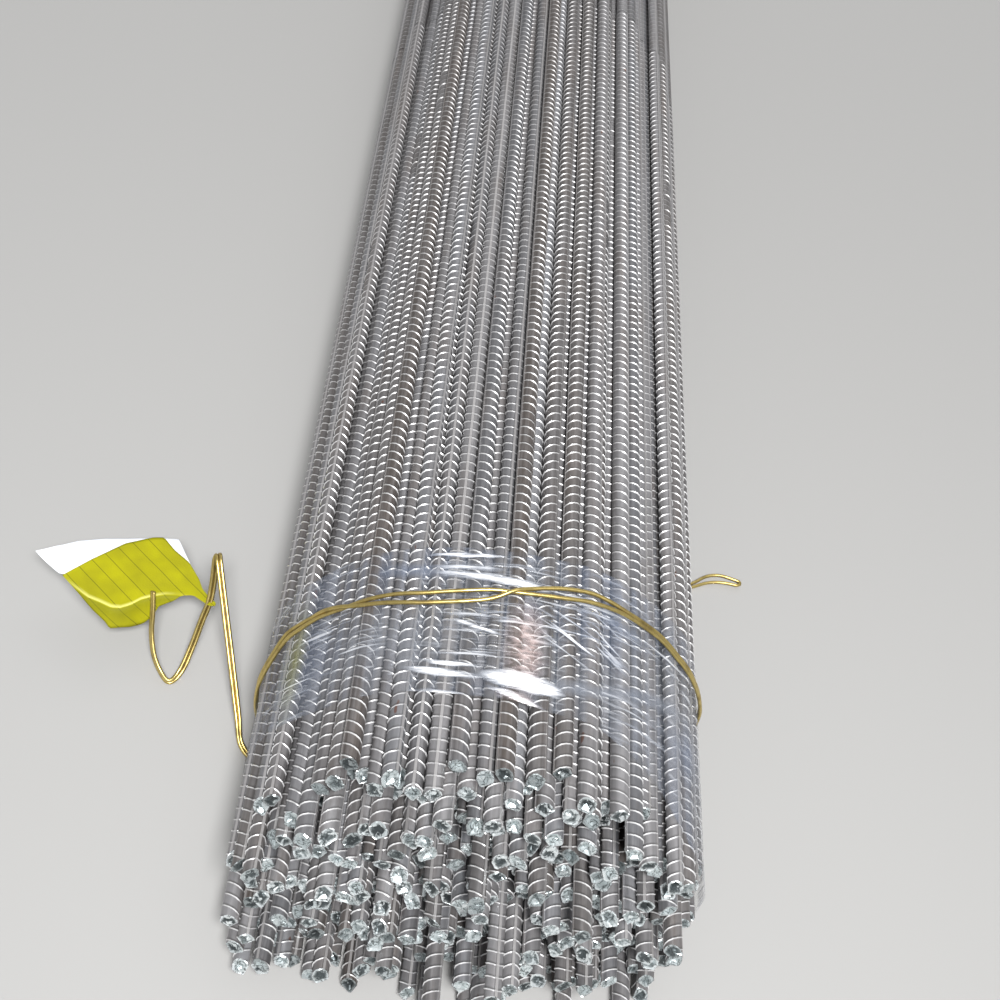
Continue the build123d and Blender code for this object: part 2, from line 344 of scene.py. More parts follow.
class Builder:
    """Collects the vertices, faces, rib coordinates and tones of a layer's bars."""

    def __init__(self):
        self.verts = []
        self.tones = []
        self.rows = []
        self.lines = []
        self.faces = []
        self.face_uv = []
        self.slots = []
        self.row_count = 0

    def grid(self, points, uvs, tone, crisp):
        """Add rows of points that close round the bar, with crisp lengthwise edges where told."""
        base = len(self.verts)
        rows, cols = points.shape[:2]
        self.verts.extend(points.reshape(-1, 3).tolist())
        self.tones.extend([tone] * (rows * cols))
        for i in range(rows):
            self.rows.extend([self.row_count + i] * cols)
            self.lines.extend([base + j if crisp[j] else -1 - base - i * cols - j for j in range(cols)])
        self.row_count += rows
        for i in range(rows - 1):
            for j in range(cols):
                k = (j + 1) % cols
                turn = 1.0 if k == 0 else 0.0
                u0, u1 = uvs[i, j, 0], uvs[i, k, 0] + turn
                uv = ((u0, uvs[i, j, 1]), (u1, uvs[i, k, 1]),
                      (u1, uvs[i + 1, k, 1]), (u0, uvs[i + 1, j, 1]))
                here, ahead = base + i * cols, base + (i + 1) * cols
                self.face((here + j, here + k, ahead + k, ahead + j), uv, 0)
        return base

    def face(self, corners, uv, slot):
        """Add one face with its rib coordinates and material."""
        self.faces.append(corners)
        self.face_uv.append(uv)
        self.slots.append(slot)

    def cap(self, ring, outline, centre, way, tone):
        """Close an end with a broken face: a rim painted bright as a highlight, rough facets, a hollow or
        raised middle.
        """
        cols = len(ring)
        rings = [ring]
        dish = rng.choice((-0.5, 0.2, 0.6, 1.6, 2.4)) * MM
        middle_y = float(np.mean([p[1] for p in outline]))
        for share, push, rim_highlight in ((0.92, -0.2 * MM, 1.0), (0.7, 0.0, 0.5), (0.4, dish * 0.7, 0.2)):
            base = len(self.verts)
            for p in outline:
                here = share * (1 + rng.uniform(-0.06, 0.06))
                px = centre[0] + (p[0] - centre[0]) * here
                pz = centre[1] + (p[2] - centre[1]) * here
                chip = noise.noise(Vector((px, middle_y, pz)) * 300) * 2 + rng.uniform(-0.25, 0.25)
                y = middle_y + (p[1] - middle_y) * here + way * (push + chip * CUT_ROUGH)
                self.verts.append((px, y, pz))
                self.tones.append((tone[0], tone[1], rim_highlight, 1.0))
            rings.append(list(range(base, base + cols)))
        middle = len(self.verts)
        self.verts.append((centre[0] + rng.uniform(-1, 1) * MM, middle_y + way * dish,
                           centre[1] + rng.uniform(-1, 1) * MM))
        self.tones.append((tone[0], tone[1], 0.0, 1.0))
        added = len(self.verts) - len(self.rows)
        self.rows.extend(range(-added, 0))
        self.lines.extend(-1 - len(self.verts) - i for i in range(added))
        for a, b in zip(rings, rings[1:]):
            for j in range(cols):
                k = (j + 1) % cols
                self.cut_face((a[k], a[j], b[j], b[k]), way)
        for j in range(cols):
            self.cut_face((rings[-1][(j + 1) % cols], rings[-1][j], middle), way)

    def cut_face(self, corners, way):
        """Add one facet of a broken end, turned to face outward."""
        corners = corners if way > 0 else corners[::-1]
        self.face(corners, tuple((0.25, 0.75) for _ in corners), 1)


def bar_columns(turn, open_way):
    """Return the angles round a bar, from its first seam, with more of them where it shows."""
    angles = []
    for sign in (-1, 1):
        for a in sorted(SIDE_ANGLES + SEAM_ANGLES):
            away = (turn + sign * a - open_way + 180) % 360 - 180
            if abs(away) < DETAIL_REACH or a in COARSE_ANGLES:
                angles.append(sign * a)
    return sorted(angles)


def mark_mask(v, offset, side):
    """Return where the ribs are left out, as in the rolled-in marks of a bar's side."""
    number = np.floor(v / RIB_PITCH)
    within = np.mod(number * RIB_PITCH - offset, MARK_EVERY) / RIB_PITCH
    return (within < MARK_RIBS) & (np.mod(np.floor(within), 3) != 0) & side[None, :]


def add_bar(builder, bar, open_way, shown):
    """Add one bar: real ribs over its shown length, bump ribs over the rest, and two sheared ends."""
    x, z, near, far = bar
    turn = rng.uniform(0, 360)
    lean = rng.uniform(*RIB_LEAN) * rng.choice((-1, 1))
    phase = rng.uniform(0, RIB_PITCH)
    tone = (rng.random(), rng.random(), 1.0, 1.0)
    angles = np.array(bar_columns(turn, open_way))
    theta = np.radians(angles + turn)
    away = np.abs(angles)
    crescent = np.sin(np.radians(away)) ** 0.6
    seam = np.where((away <= SEAM_ANGLES[0]) | (away >= SEAM_ANGLES[-1]), SEAM_H, 0.0)
    shear = lean * away / 180
    u = angles / 360

    cut = np.clip(rng.gauss(CUT_LEAN, CUT_SPREAD), 0.08, 0.8) * CORE_R
    cut_way = math.radians(rng.gauss(90, CUT_TURN))
    first = near + cut * (1 + np.cos(theta - cut_way))
    last = near + shown

    start = math.floor((near - phase - max(0.0, lean)) / RIB_PITCH) - 1
    stop = math.ceil((last - phase - min(0.0, lean)) / RIB_PITCH) + 1
    rows = np.array([k * RIB_PITCH + phase + s for k in range(start, stop) for s in RIB_STEPS])
    y = rows[:, None] + shear[None, :]
    y = y[(y.max(axis=1) > first.min()) & (y.min(axis=1) < last)]
    count = len(y)
    y = np.maximum(y, first[None, :] + np.arange(1, count + 1)[:, None] * 1e-6)
    y = np.minimum(y, last - (count - np.arange(count))[:, None] * 1e-6)
    y = np.vstack([first[None, :], y, np.full((1, len(angles)), last)])
    v = y - shear[None, :] - phase

    height = rib_profile(v) * crescent[None, :] * (CREST_R - CORE_R)
    missing = mark_mask(v, rng.uniform(0, MARK_EVERY), angles > 0)
    height = np.where(missing, 0.0, height)
    radius = CORE_R + np.maximum(height, seam[None, :])
    radius[0] *= 0.97
    points = np.stack([x + radius * np.cos(theta)[None, :], y, z + radius * np.sin(theta)[None, :]], axis=2)
    uvs = np.stack([np.broadcast_to(u, y.shape), v / RIB_PITCH], axis=2)
    crisp = np.isin(away, SEAM_ANGLES)
    base = builder.grid(points, uvs, tone, crisp)
    builder.cap(list(range(base, base + len(angles))), points[0], (x, z), 1, tone)

    coarse = np.isin(away, PLAIN_ANGLES)
    ring = theta[coarse]
    y = np.vstack([np.full(len(ring), last - 1e-5), far - cut * (1 + np.cos(ring - cut_way))])
    points = np.stack([x + PLAIN_R * np.cos(ring)[None, :] * np.ones((2, 1)), y,
                       z + PLAIN_R * np.sin(ring)[None, :] * np.ones((2, 1))], axis=2)
    v = y - shear[coarse][None, :] - phase
    uvs = np.stack([np.broadcast_to(u[coarse], y.shape), v / RIB_PITCH], axis=2)
    base = builder.grid(points, uvs, (tone[0], tone[1], 0.0, 1.0), crisp[coarse])
    builder.cap(list(range(base + len(ring), base + 2 * len(ring))), points[1], (x, z), -1, tone)


def make_bars(materials):
    """Make one piece of ribbed bars for each layer of the frame."""
    for node, bars in LAYERS.items():
        builder = Builder()
        for bar in bars:
            x, z, near, _ = bar
            open_way = open_direction(x, z)
            if open_way is None:
                add_bar(builder, bar, 90, covered_length(x, z, near))
            else:
                add_bar(builder, bar, open_way, SHOWN_LENGTH - near)
        obj = new_mesh(node.replace("bars_layer", "ribbed_bars"), builder.verts, builder.faces, materials)
        mesh = obj.data
        uv = mesh.uv_layers.new(name="ribs")
        uv.data.foreach_set("uv", [c for face in builder.face_uv for corner in face for c in corner])
        tone = mesh.color_attributes.new("tone", "FLOAT_COLOR", "POINT")
        tone.data.foreach_set("color", np.array(builder.tones, np.float32).ravel())
        mesh.polygons.foreach_set("material_index", builder.slots)
        mesh.polygons.foreach_set("use_smooth", [slot == 0 for slot in builder.slots])
        ends = np.empty(len(mesh.edges) * 2, np.int32)
        mesh.edges.foreach_get("vertices", ends)
        ends = ends.reshape(-1, 2)
        rows = np.array(builder.rows)[ends]
        lines = np.array(builder.lines)[ends]
        sharp = mesh.attributes.new("sharp_edge", "BOOLEAN", "EDGE")
        sharp.data.foreach_set("value", (rows[:, 0] == rows[:, 1]) | (lines[:, 0] == lines[:, 1]))
        attach(obj, node)


# Ties

def offset_ring(offset, spacing, bulge):
    """Return points and outward ways round the bundle: arcs at corner bars, bulged runs between."""
    points = []
    for i, here in enumerate(CORNERS):
        before, after = CORNERS[i - 1], CORNERS[(i + 1) % len(CORNERS)]
        a = math.atan2(here[1] - before[1], here[0] - before[0]) - math.pi / 2
        b = math.atan2(after[1] - here[1], after[0] - here[0]) - math.pi / 2
        if b < a:
            b += 2 * math.pi
        turns = max(1, int((b - a) * offset / spacing) + 1)
        for k in range(turns + 1):
            angle = a + (b - a) * k / turns
            way = Vector((math.cos(angle), 0, math.sin(angle)))
            points.append((Vector((here[0], 0, here[1])) + way * offset, way))
        span = math.dist(here, after)
        steps = int(span / spacing) + 1
        last, way = points[-1]
        run = Vector((after[0] - here[0], 0, after[1] - here[1]))
        rise = 0.0 if way.z < -0.9 else bulge * span
        for k in range(1, steps):
            t = k / steps
            points.append((last + run * t + way * (rise * 4 * t * (1 - t)), way))
    return points


def span_share(point, way):
    """Return 0 where the film lies on a bar's top and 1 where it spans between two bars."""
    rel = CENTRES - (point.x, point.z)
    depth = -(rel @ (way.x, way.z))
    aside = np.abs(rel @ (-way.z, way.x))
    nearest = np.min(aside[depth < FILM_LINE + 7 * MM], initial=0.01)
    return float(np.clip((nearest - 3 * MM) / (3 * MM), 0, 1))


def film_band(name, front_edge, rear, seed, cells, material):
    """Wrap a wrinkled band of thin film round the bundle."""
    across, spacing = cells
    ring = offset_ring(FILM_LINE, spacing, BULGE * 0.6)
    rows = []
    flat = []
    spans = []
    length = 0.0
    for i, (p, way) in enumerate(ring):
        length += (p - ring[i - 1][0]).length
        front = front_edge(p.x) + 1.6 * MM * noise.noise(Vector((length * 30, seed, 0)))
        back = rear + 1.8 * MM * noise.noise(Vector((length * 22, seed, 5)))
        row = []
        for j in range(across + 1):
            y = front + (back - front) * j / across
            fold = noise.noise(Vector((length * 12, y * 150 + length * 9, seed)))
            fine = noise.noise(Vector((length * 45, y * 420, seed + 3)))
            rise = max(0.42 * fold + 0.14 * fine, -0.25) * MM
            row.append(p + way * rise + Vector((0, y, 0)))
        rows.append(row)
        flat.append([(length, y) for y in np.linspace(front, back, across + 1)])
        spans.extend([span_share(p, way)] * (across + 1))
    obj = sheet_mesh(name, np.array(rows), np.array(flat), FILM_T, material, closed=True)
    span = obj.data.color_attributes.new("span", "FLOAT_COLOR", "POINT")
    span.data.foreach_set("color", np.repeat(np.array(spans * 2, np.float32), 4))
    return obj


def catmull(points, steps):
    """Return a smooth curve through points."""
    curve = []
    for i in range(len(points) - 1):
        p1, p2 = points[i], points[i + 1]
        p0 = points[i - 1] if i > 0 else p1 * 2 - p2
        p3 = points[i + 2] if i + 2 < len(points) else p2 * 2 - p1
        for k in range(steps):
            t = k / steps
            curve.append(0.5 * (2 * p1 + (p2 - p0) * t + (2 * p0 - 5 * p1 + 4 * p2 - p3) * t * t
                                + (3 * p1 - p0 - 3 * p2 + p3) * t * t * t))
    curve.append(points[-1].copy())
    return curve


def eased(points, times, closed=False):
    """Even out a run of points, keeping its ends unless it is closed."""
    for _ in range(times):
        fresh = [p.copy() for p in points]
        for i in range(len(points)):
            if closed or 0 < i < len(points) - 1:
                fresh[i] = points[i] * 0.5 + (points[i - 1] + points[(i + 1) % len(points)]) * 0.25
        points = fresh
    return points


def tube(path, radius, sides, closed=False):
    """Return the vertices and faces of a round wire along a path."""
    count = len(path)
    tangents = []
    for i in range(count):
        a = path[i - 1] if closed or i > 0 else path[i]
        b = path[(i + 1) % count] if closed or i < count - 1 else path[i]
        tangents.append((b - a).normalized())
    side = tangents[0].orthogonal().normalized()
    verts = []
    for p, way in zip(path, tangents):
        side = (side - way * side.dot(way)).normalized()
        up = way.cross(side)
        for k in range(sides):
            a = 2 * math.pi * k / sides
            verts.append(p + side * (radius * math.cos(a)) + up * (radius * math.sin(a)))
    faces = []
    for i in range(count if closed else count - 1):
        n = (i + 1) % count
        for k in range(sides):
            m = (k + 1) % sides
            faces.append((i * sides + k, i * sides + m, n * sides + m, n * sides + k))
    if not closed:
        faces.append(tuple(range(sides - 1, -1, -1)))
        faces.append(tuple((count - 1) * sides + k for k in range(sides)))
    return verts, faces


def tail_strand(side):
    """Return one strand of the free tail, beside its middle line and turning with it."""
    middle = [Vector(p) for p in TAIL]
    last = len(middle) - 1
    lateral = Vector((1, 0, 0))
    laterals = [None] * (last + 1)
    for i in range(last, -1, -1):
        way = (middle[min(i + 1, last)] - middle[max(i - 1, 0)]).normalized()
        lateral = (lateral - way * lateral.dot(way)).normalized()
        laterals[i] = lateral
    for i, share in ((last, 0.8), (last - 1, 0.4)):
        laterals[i] = laterals[i].lerp(Vector((0, 1, 0)), share).normalized()
    return [p + lateral * (side * STRAND_HALF) for p, lateral in zip(middle, laterals)]


def front_strand(number, ring):
    """Return one strand of the front tie from the tail, under and round the bundle, to the loop end."""
    side = 1 - 2 * number
    left = min(p.x for p, way in ring)
    width = max(p.x for p, way in ring) - left
    y0 = TIE_PLACES[0] - FRONT_SKEW / 2
    floor = [p for p, way in ring[:-1] if way.z < -0.99]
    lap = []
    for i, (p, way) in enumerate(ring):
        share = (p.x - left) / width
        if i < len(floor):
            y = y0 - FLOOR_LEAD + share * (FRONT_SKEW + FLOOR_LEAD) + side * STRAND_HALF
            lap.append(Vector((p.x, y, WIRE_R)))
            continue
        across = p.x / MM
        own, other = (along(wave, across) for wave in (STRAND_WAVES[number], STRAND_WAVES[1 - number]))
        lift = math.sqrt(max(0.0, (2 * WIRE_R) ** 2 - ((own - other) * MM) ** 2)) if number == 0 else 0.0
        y = y0 + share * FRONT_SKEW + (along(MIDDLE_WAVE, across) + own) * MM
        lap.append(Vector((p.x, y, p.z)) + way * lift)
    back = []
    reach = LOOP_END[0][1] - y0
    for p in floor[3:]:
        share = (p.x - floor[0].x) / (floor[-1].x - floor[0].x)
        back.append(Vector((p.x, y0 + 0.004 + share**1.5 * reach * 0.9 + side * STRAND_HALF, WIRE_R)))
    end = []
    for p, spread in zip(LOOP_END, LOOP_SPREAD):
        end.append(Vector(p) + Vector((-0.3, 1, 0)).normalized() * (side * spread))
    foot = Vector((left + 4 * MM, y0 - 12 * MM + side * STRAND_HALF, WIRE_R))
    tail = catmull(tail_strand(side) + [foot, lap[0]], 6)
    back = catmull(back[::6] + end, 6)
    strand = tail[:-1] + eased(lap[:-2] + back, 3)
    return [Vector((p.x, p.y, max(p.z, WIRE_R))) for p in strand]


def make_ties(material):
    """Make the front tie as one folded wire, and the other ties as two rings each."""
    ring = offset_ring(WIRE_LINE, 4 * MM, BULGE)
    start = next(i for i, (p, way) in enumerate(ring) if way.z < -0.999)
    ring = ring[start:] + ring[:start + 1]
    one, other = (front_strand(number, ring) for number in (0, 1))
    turn = catmull([one[-1]] + [Vector(p) for p in LOOP_TIP] + [other[-1]], 4)
    verts, faces = tube(one[:-1] + turn + other[-2::-1], WIRE_R, 10)
    attach(new_mesh("front_tie", verts, faces, [material]), "tie_wire_1")
    for tie, place in enumerate(TIE_PLACES[1:], 2):
        verts = []
        faces = []
        for side in (-1, 1):
            path = []
            for i, (p, _) in enumerate(ring[:-1]):
                spread = 0.8 + 0.8 * abs(noise.noise(Vector((i * 0.05, tie, 3))))
                drift = 3 * MM * noise.noise(Vector((i * 0.03, tie * 5, 0)))
                path.append(p + Vector((0, place + drift + side * STRAND_HALF * max(1.0, spread), 0)))
            more, loops = tube(eased(path, 3, closed=True), WIRE_R, 8, closed=True)
            faces += [tuple(len(verts) + c for c in face) for face in loops]
            verts += more
        attach(new_mesh(f"tie_{tie}", verts, faces, [material]), f"tie_wire_{tie}")


# Tag

def on_tag(u, v, folded):
    """Return the place in space of a point of a tag sheet, given in mm in its flat outline."""
    drop = 0.0
    fold = along(CREASE, u)
    if folded and v < fold:
        d = fold - v
        turn = math.radians(FOLD_ANGLE)
        if d < FOLD_R * turn:
            v = fold - FOLD_R * math.sin(d / FOLD_R)
            drop = FOLD_R * (1 - math.cos(d / FOLD_R))
        else:
            d -= FOLD_R * turn
            v = fold - FOLD_R * math.sin(turn) - d * math.cos(turn)
            drop = FOLD_R * (1 - math.cos(turn)) + d * math.sin(turn)
    wave = 0.9 * noise.noise(Vector((u * 0.035, v * 0.05, 4)))
    curl = 5.0 * max(0.0, (-66 - u) / 21) ** 2
    return TAG_MIDDLE + TAG_WAY * (u * MM) + TAG_UP * (v * MM) + Vector((0, 0, (wave + curl - drop) * MM))


def tag_sheet(name, top, low, folded, under, material):
    """Fill the outline between a sheet's top and low edges and bend it."""
    def walk(edge, share):
        steps = [0.0]
        for a, b in zip(edge, edge[1:]):
            steps.append(steps[-1] + math.dist(a, b))
        at = share * steps[-1]
        return np.array([np.interp(at, steps, [p[k] for p in edge]) for k in (0, 1)])

    columns, rows = TAG_CELLS
    grid = []
    flat = []
    for i in range(columns + 1):
        a, b = walk(top, i / columns), walk(low, i / columns)
        line = [a + (b - a) * (j / rows) for j in range(rows + 1)]
        grid.append([on_tag(u, v, folded) - Vector((0, 0, under)) for u, v in line])
        flat.append(line)
    obj = sheet_mesh(name, np.array(grid)[:, ::-1], np.array(flat)[:, ::-1] * 0.01, PAPER_T, material)
    places = np.array(flat)[:, ::-1].reshape(-1, 2)
    above = np.clip([0.5 + (v - along(CREASE, u)) / 50 for u, v in places], 0, 1)
    fold = obj.data.attributes.new("fold", "FLOAT", "POINT")
    fold.data.foreach_set("value", np.tile(above, 2).astype(np.float32))
    return obj


# Materials

class Recipe:
    """A material under construction, with short ways to add and join its nodes."""

    def __init__(self, name):
        self.material = bpy.data.materials.new(name)
        self.material.use_nodes = True
        tree = self.material.node_tree
        tree.nodes.clear()
        self.nodes = tree.nodes
        self.links = tree.links
        self.shader = self.add("BsdfPrincipled")
        self.links.new(self.shader.outputs[0], self.add("OutputMaterial").inputs[0])

    def add(self, kind, **values):
        node = self.nodes.new("ShaderNode" + kind)
        for key, value in values.items():
            setattr(node, key, value)
        return node

    def put(self, socket, value):
        """Link an output to a socket, or set the socket to a plain value."""
        if isinstance(value, bpy.types.NodeSocket):
            self.links.new(value, socket)
        else:
            socket.default_value = value

    def set(self, **values):
        """Put values on the shader's sockets, named with low lines for blanks."""
        for key, value in values.items():
            self.put(self.shader.inputs[key.replace("_", " ")], value)

    def math(self, operation, a, b=0.0, clamp=False):
        node = self.add("Math", operation=operation, use_clamp=clamp)
        self.put(node.inputs[0], a)
        self.put(node.inputs[1], b)
        return node.outputs[0]

    def parts(self, value):
        node = self.add("SeparateXYZ")
        self.put(node.inputs[0], value)
        return node.outputs

    def scaled(self, value, scale, shift=None):
        """Stretch coordinates by a scale and move them by a shift."""
        node = self.add("VectorMath", operation="MULTIPLY_ADD")
        self.put(node.inputs[0], value)
        node.inputs[1].default_value = scale
        if shift is not None:
            self.put(node.inputs[2], shift)
        return node.outputs[0]

    def turned(self, value, degrees):
        """Turn flat coordinates."""
        node = self.add("VectorRotate", rotation_type="Z_AXIS")
        self.put(node.inputs["Vector"], value)
        node.inputs["Angle"].default_value = math.radians(degrees)
        return node.outputs[0]

    def noise(self, place, detail=2.0, distortion=0.0):
        node = self.add("TexNoise")
        self.put(node.inputs["Vector"], place)
        node.inputs["Scale"].default_value = 1.0
        node.inputs["Detail"].default_value = detail
        node.inputs["Distortion"].default_value = distortion
        return node.outputs["Fac"]

    def ramp(self, value, *stops):
        """Read a value off a row of stops, each a place with a number or a colour."""
        node = self.add("ValToRGB")
        elements = node.color_ramp.elements
        while len(elements) < len(stops):
            elements.new(1.0)
        for element, (place, colour) in zip(elements, stops):
            element.position = place
            element.color = (*colour, 1) if isinstance(colour, tuple) else (colour, colour, colour, 1)
        self.put(node.inputs[0], value)
        return node.outputs[0]

    def mix(self, share, a, b):
        node = self.add("Mix", data_type="RGBA")
        for key, value in (("Factor", share), ("A", a), ("B", b)):
            if isinstance(value, tuple):
                value = (*value, 1)
            self.put(node.inputs[key], value)
        return node.outputs["Result"]

    def bump(self, height, distance):
        node = self.add("Bump")
        node.inputs["Distance"].default_value = distance
        node.inputs["Strength"].default_value = 1.0
        self.put(node.inputs["Height"], height)
        return node.outputs[0]

    def position(self):
        return self.add("NewGeometry").outputs["Position"]


def ribbed_steel():
    """Mill-grey bar, each with its own shade, rib crests painted bright as wear and as a painted highlight,
    a painted shadow behind each rib, pale seams with a painted highlight and a few rust spots.
    """
    r = Recipe("ribbed_steel")
    tone = r.add("VertexColor", layer_name="tone").outputs["Color"]
    shade, hue, real = r.parts(tone)
    own = r.scaled(tone, (9.0, 9.0, 0.0))
    grain = r.noise(r.scaled(r.position(), (420, 26, 420), own), 4.0)
    blotch = r.noise(r.scaled(r.position(), (60, 11, 60), own), 3.0)
    grey = r.ramp(shade, (0.0, (0.085, 0.069, 0.060)), (0.12, (0.150, 0.139, 0.134)),
                  (0.5, (0.215, 0.208, 0.212)), (1.0, (0.300, 0.295, 0.302)))
    grey = r.mix(r.ramp(hue, (0.55, 0.0), (1.0, 0.35)), grey, (0.170, 0.195, 0.230))
    grey = r.mix(r.ramp(blotch, (0.50, 0.0), (0.72, 0.5)), grey, (0.160, 0.130, 0.112))
    grey = r.mix(r.ramp(grain, (0.40, 0.0), (0.75, 0.28)), grey, (0.44, 0.43, 0.44))
    spots = r.noise(r.scaled(r.position(), (130, 60, 130), own), 1.0)
    grey = r.mix(r.ramp(spots, (0.78, 0.0), (0.81, 0.7)), grey, (0.14, 0.045, 0.02))

    u, v, _ = r.parts(r.add("UVMap", uv_map="ribs").outputs[0])
    place = r.math("FRACT", v)
    crest = r.ramp(place, (0.0, 0.0), (0.045, 1.0), (0.105, 1.0), (0.14, 0.0))
    round_bar = r.math("ABSOLUTE", r.math("SINE", r.math("MULTIPLY", u, 2 * math.pi)))
    side = r.math("POWER", round_bar, 0.4)
    rib = r.math("MULTIPLY", crest, side)
    # Painted shadow: a dark band just behind each rib crest.
    foot = r.ramp(place, (0.13, 0.0), (0.17, 0.65), (0.21, 0.5), (0.36, 0.0))
    grey = r.mix(r.math("MULTIPLY", foot, side), grey, (0.050, 0.046, 0.046))
    # Painted highlight: the bar is painted paler along its seams.
    grey = r.mix(r.ramp(round_bar, (0.10, 0.6), (0.20, 0.0)), grey, (0.46, 0.445, 0.44))
    # Rib crests painted near white, partly as wear and partly as a painted highlight that fades toward the
    # far end like the light.
    wear_and_near_light = r.ramp(r.parts(r.position())[1], (0.35, 0.95), (1.0, 0.30))
    only_bump = r.math("SUBTRACT", 1.0, real)
    wear_and_near_light = r.math("MAXIMUM", wear_and_near_light, r.math("MULTIPLY", only_bump, 0.6))
    wear_and_glint = r.math("MULTIPLY", r.math("MULTIPLY", rib, wear_and_near_light), r.ramp(grain, (0.25, 0.65), (0.6, 1.0)))
    dull = r.ramp(grain, (0.3, 0.42), (0.7, 0.54))
    bumps = r.math("ADD", r.math("MULTIPLY", rib, only_bump), r.math("MULTIPLY", grain, 0.10))
    r.set(Base_Color=r.mix(wear_and_glint, grey, (0.88, 0.88, 0.88)), Metallic=0.55, Normal=r.bump(bumps, 0.9 * MM),
          Roughness=r.math("SUBTRACT", dull, r.math("MULTIPLY", wear_and_glint, 0.08)))
    return r.material


def cut_steel():
    """Bright broken metal of a sheared end, with its rim painted paler as a highlight."""
    r = Recipe("cut_steel")
    shade, hue, rim_highlight = r.parts(r.add("VertexColor", layer_name="tone").outputs["Color"])
    chips = r.noise(r.scaled(r.position(), (240, 240, 240)), 2.0, 0.6)
    middle = r.ramp(hue, (0.0, (0.04, 0.047, 0.05)), (0.35, (0.12, 0.14, 0.145)),
                    (0.7, (0.36, 0.41, 0.42)), (1.0, (0.62, 0.69, 0.70)))
    bright = r.ramp(shade, (0.0, (0.30, 0.33, 0.335)), (0.4, (0.70, 0.76, 0.77)),
                    (1.0, (0.92, 0.97, 0.98)))
    # Painted highlight: the rim of each end is painted paler.
    pale = r.mix(r.ramp(rim_highlight, (0.35, 0.0), (0.95, 0.9)), middle, bright)
    pale = r.mix(r.ramp(chips, (0.55, 0.0), (0.61, 0.9)), pale, bright)
    strokes = r.ramp(chips, (0.40, 0.0), (0.435, 0.85), (0.455, 0.85), (0.49, 0.0))
    r.set(Base_Color=r.mix(strokes, pale, (0.06, 0.07, 0.072)), Metallic=0.75,
          Roughness=r.ramp(chips, (0.3, 0.42), (0.7, 0.22)), Normal=r.bump(chips, 0.35 * MM))
    return r.material


def smear(r, place, centre, half, turn):
    """Return 1 in the middle of a long soft patch on the film and 0 outside it; sizes are in mm."""
    mapping = r.add("Mapping", vector_type="TEXTURE")
    r.put(mapping.inputs["Vector"], place)
    mapping.inputs["Location"].default_value = (centre[0] * MM, centre[1] * MM, 0)
    mapping.inputs["Rotation"].default_value = (0, 0, math.radians(turn))
    mapping.inputs["Scale"].default_value = (half[0] * MM, half[1] * MM, 100)
    ball = r.add("TexGradient", gradient_type="SPHERICAL")
    r.put(ball.inputs["Vector"], mapping.outputs[0])
    return ball.outputs["Fac"]


def smears(r, place, table):
    """Add up a list of smears given as centre, half length and width, turn and strength."""
    total = 0.0
    for centre, half, turn, strength in table:
        total = r.math("ADD", r.math("MULTIPLY", smear(r, place, centre, half, turn), strength), total)
    return total


